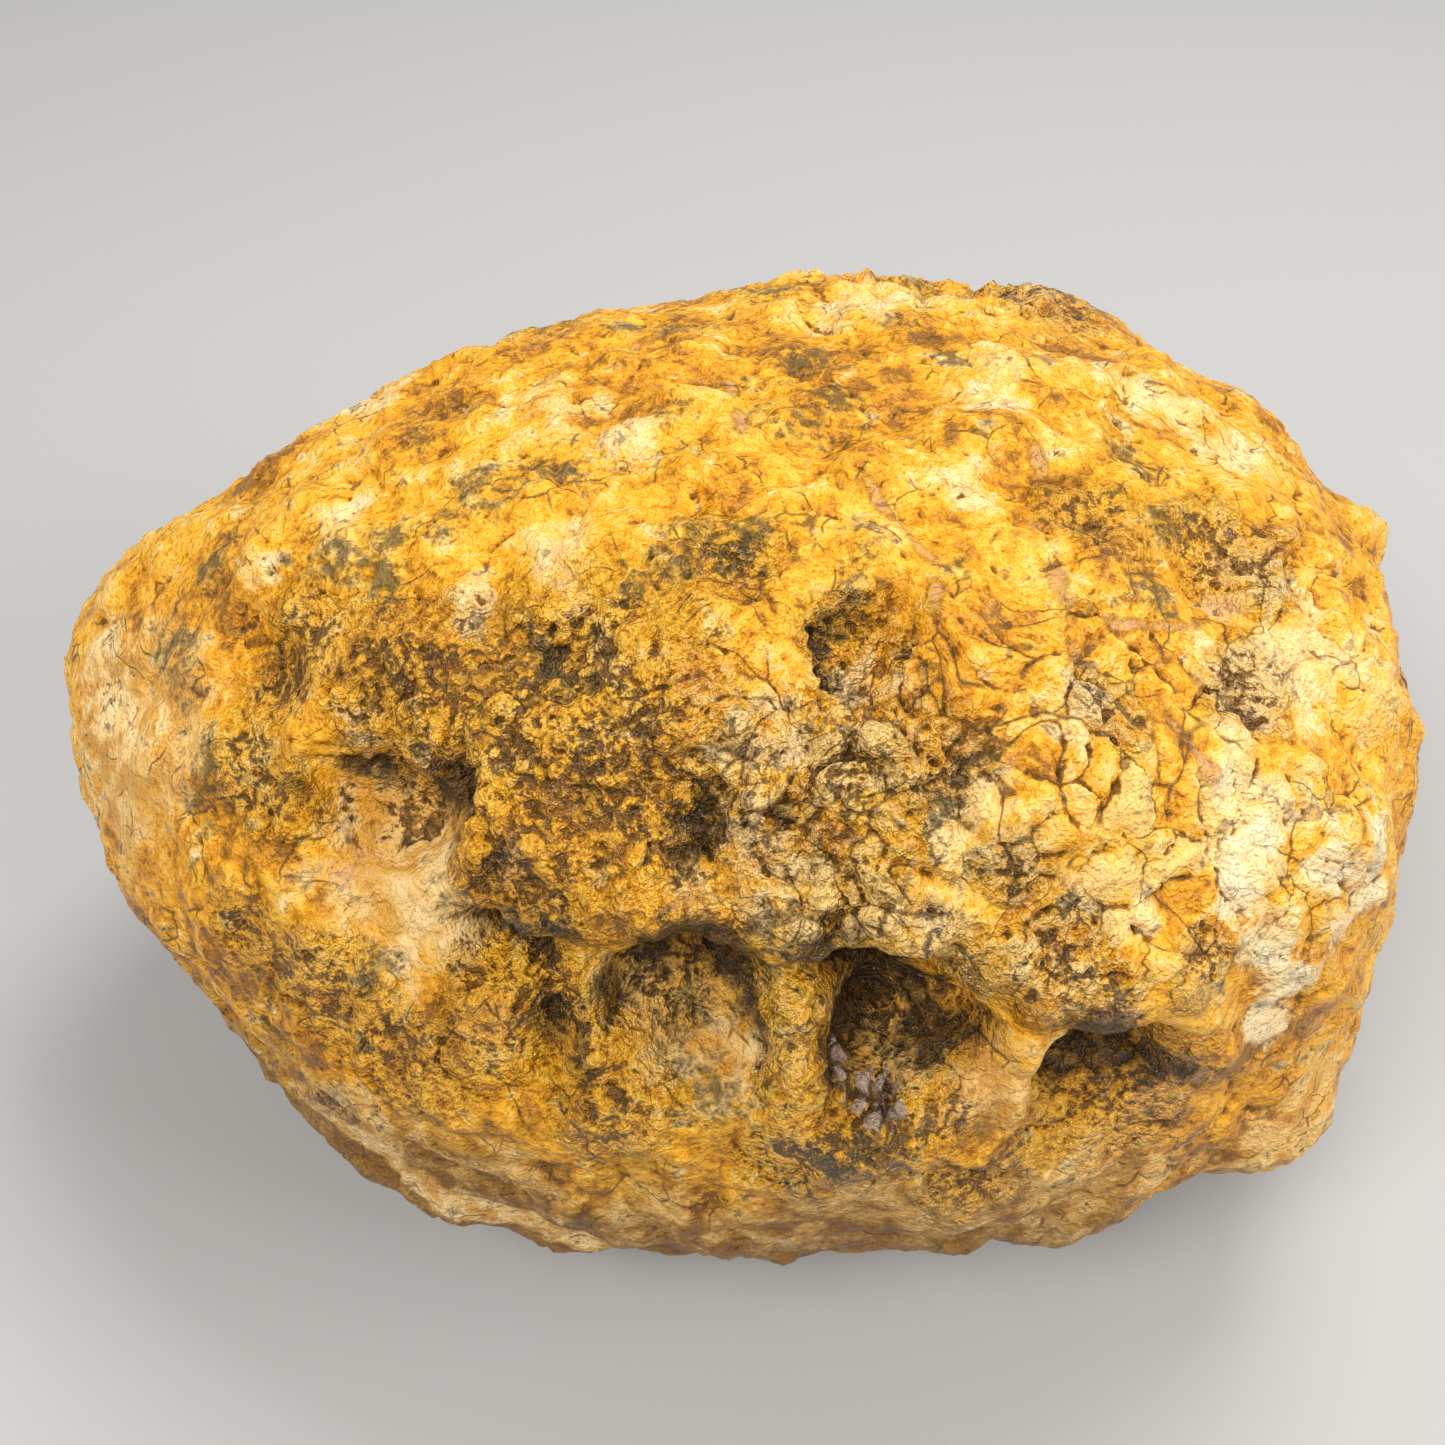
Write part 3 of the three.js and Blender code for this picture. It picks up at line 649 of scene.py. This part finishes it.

# Manganese in grey specks, painted shade in black under the rims, and the pale crystals.
manganese = written("manganese")
speckled = paint.weighed((manganese, 0.9), (blotches, 1.8), (specks, 2.0))
speckled = paint.both(paint.rise(speckled, 2.1, 2.75, 0.0, 0.85), paint.times(manganese, 4.0))
colour = over(speckled, colour, OLIVE)
# Painted shade: black laid about the listed places, on ground that lies in a hollow or faces down.
rim_shade_share = paint.plus(written("rim_shade"), paint.times(blotches, 1.5), specks)
shaded = paint.either(paint.rise(hollowed, -0.5, 1.5), paint.rise(up, 0.6, 0.3))
rim_shade_share = paint.times(paint.rise(rim_shade_share, 1.25, 1.9, 0.0, 0.92), shaded)
colour = over(rim_shade_share, colour, turning(specks, 0.44, 0.56, UMBER, SHADOW_BLACK))
crust = written("crust")
crusted_over = paint.rise(paint.plus(crust, paint.times(creased, -0.8)), 0.3, 0.6)
crusted_over = paint.both(crusted_over, paint.times(crust, 6.0))
colour = over(crusted_over, colour, turning(bead_edge, 0.03, 0.16, GREY, LILAC))

# Crumbly ground holds water, which fills its grain and shines; worn ground is duller.
RELIEF_DEPTH = 4.0 * MM
WATER_ROUGHNESS, GLINT_LEVEL, GLINT = 0.12, 0.3, (1, 0.86, 0.62, 1)
roughness = paint.rise(paint.plus(blotches, paint.times(dried, 0.15)), 0.42, 0.62, 0.3, 0.55)
roughness = paint.less(roughness, paint.times(wet, 0.15))
water = paint.rise(wet, 0.0, 0.5, 0.15, 0.7)
bumps = paint.times(paint.flip(specks), paint.rise(crumbling, 0.0, 1.0, 0.35, 1.0))
sockets = {"Strength": 1.0, "Distance": RELIEF_DEPTH, "Height": bumps}
relief = node(stone.node_tree, "ShaderNodeBump", sockets).outputs[0]
sockets = {"Base Color": colour, "Roughness": roughness, "Normal": relief}
sockets.update({"Coat Weight": water, "Coat Normal": relief, "Coat Roughness": WATER_ROUGHNESS})
sockets.update({"Specular IOR Level": GLINT_LEVEL, "Specular Tint": GLINT})
surface = node(stone.node_tree, "ShaderNodeBsdfPrincipled", sockets).outputs[0]
node(stone.node_tree, "ShaderNodeOutputMaterial", {"Surface": surface})

# The rind grows on the skin. Smooth ground then needs fewer faces than the knobs and cracks do.
MOST_TRIANGLES = 195_000
growing = geode.modifiers.new("weathered rind", "NODES")
growing.node_group = rind
for name, socket in rind_sockets.items():
    growing[socket.identifier] = RIND_SIZES[name]
growing[stone_socket.identifier] = stone
thinning = geode.modifiers.new("thinned", "DECIMATE")
thinning.ratio = MOST_TRIANGLES / (2 * len(skin.polygons))  # the skin's faces all have four sides
finished(geode)
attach(geode, "root")
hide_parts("geode")


# ---- The camera --------------------------------------------------------------------------------
# A hand-held camera close above the stone, looking down at the brow and the hollows below it.

LOOK_DOWN = math.radians(47)
FIELD_OF_VIEW = math.radians(48)
LOOK_AT = Vector((-0.6, 0, 49)) * MM
DISTANCE = 196 * MM
NEAREST = 10 * MM
SENSOR_WIDTH = 36

camera = bpy.data.objects.new("camera", bpy.data.cameras.new("camera"))
bpy.context.scene.collection.objects.link(camera)
camera.data.sensor_width = SENSOR_WIDTH
camera.data.lens = SENSOR_WIDTH / 2 / math.tan(FIELD_OF_VIEW / 2)
camera.data.clip_start = NEAREST
backward = Vector((0, -math.cos(LOOK_DOWN), math.sin(LOOK_DOWN)))
camera.location = LOOK_AT + backward * DISTANCE
camera.rotation_euler = (-backward).to_track_quat("-Z", "Y").to_euler()
bpy.context.scene.camera = camera


# ---- The studio --------------------------------------------------------------------------------
# A pale table and three square soft lamps: one high behind the stone, a stronger one high in front
# on the left, and one lower on the right. The air gives a weak even light. Sizes are in metres.

TABLE_HALF = 1.5
PAPER = (0.44, 0.435, 0.425, 1)
PAPER_ROUGHNESS = 0.8
AIR = (0.92, 0.9, 0.87, 1)
AIR_STRENGTH = 0.36

table_mesh = bpy.data.meshes.new("table")
corners = [(-TABLE_HALF, -TABLE_HALF, 0), (TABLE_HALF, -TABLE_HALF, 0), (TABLE_HALF, TABLE_HALF, 0)]
table_mesh.from_pydata([*corners, (-TABLE_HALF, TABLE_HALF, 0)], [], [(0, 1, 2, 3)])
table = bpy.data.objects.new("table", table_mesh)
bpy.context.scene.collection.objects.link(table)
paper = bpy.data.materials.new("pale paper")
paper.use_nodes = True
paper.node_tree.nodes["Principled BSDF"].inputs["Base Color"].default_value = PAPER
paper.node_tree.nodes["Principled BSDF"].inputs["Roughness"].default_value = PAPER_ROUGHNESS
table_mesh.materials.append(paper)


def lamp(name, place, size, watts):
    """A square soft lamp, turned to the stone."""
    made = bpy.data.objects.new(name, bpy.data.lights.new(name, "AREA"))
    bpy.context.scene.collection.objects.link(made)
    made.location = place
    made.rotation_euler = (MIDDLE - Vector(place)).to_track_quat("-Z", "Y").to_euler()
    made.data.size = size
    made.data.energy = watts


lamp("sky", place=(0.15, 0.25, 0.7), size=0.3, watts=3.2)
lamp("front", place=(-0.35, -0.42, 0.75), size=0.4, watts=5.8)
lamp("right fill", place=(0.7, -0.25, 0.45), size=0.4, watts=4.0)
air = bpy.data.worlds.new("studio air")
air.use_nodes = True
air.node_tree.nodes["Background"].inputs["Color"].default_value = AIR
air.node_tree.nodes["Background"].inputs["Strength"].default_value = AIR_STRENGTH
bpy.context.scene.world = air
bpy.context.scene.view_settings.view_transform = "Standard"
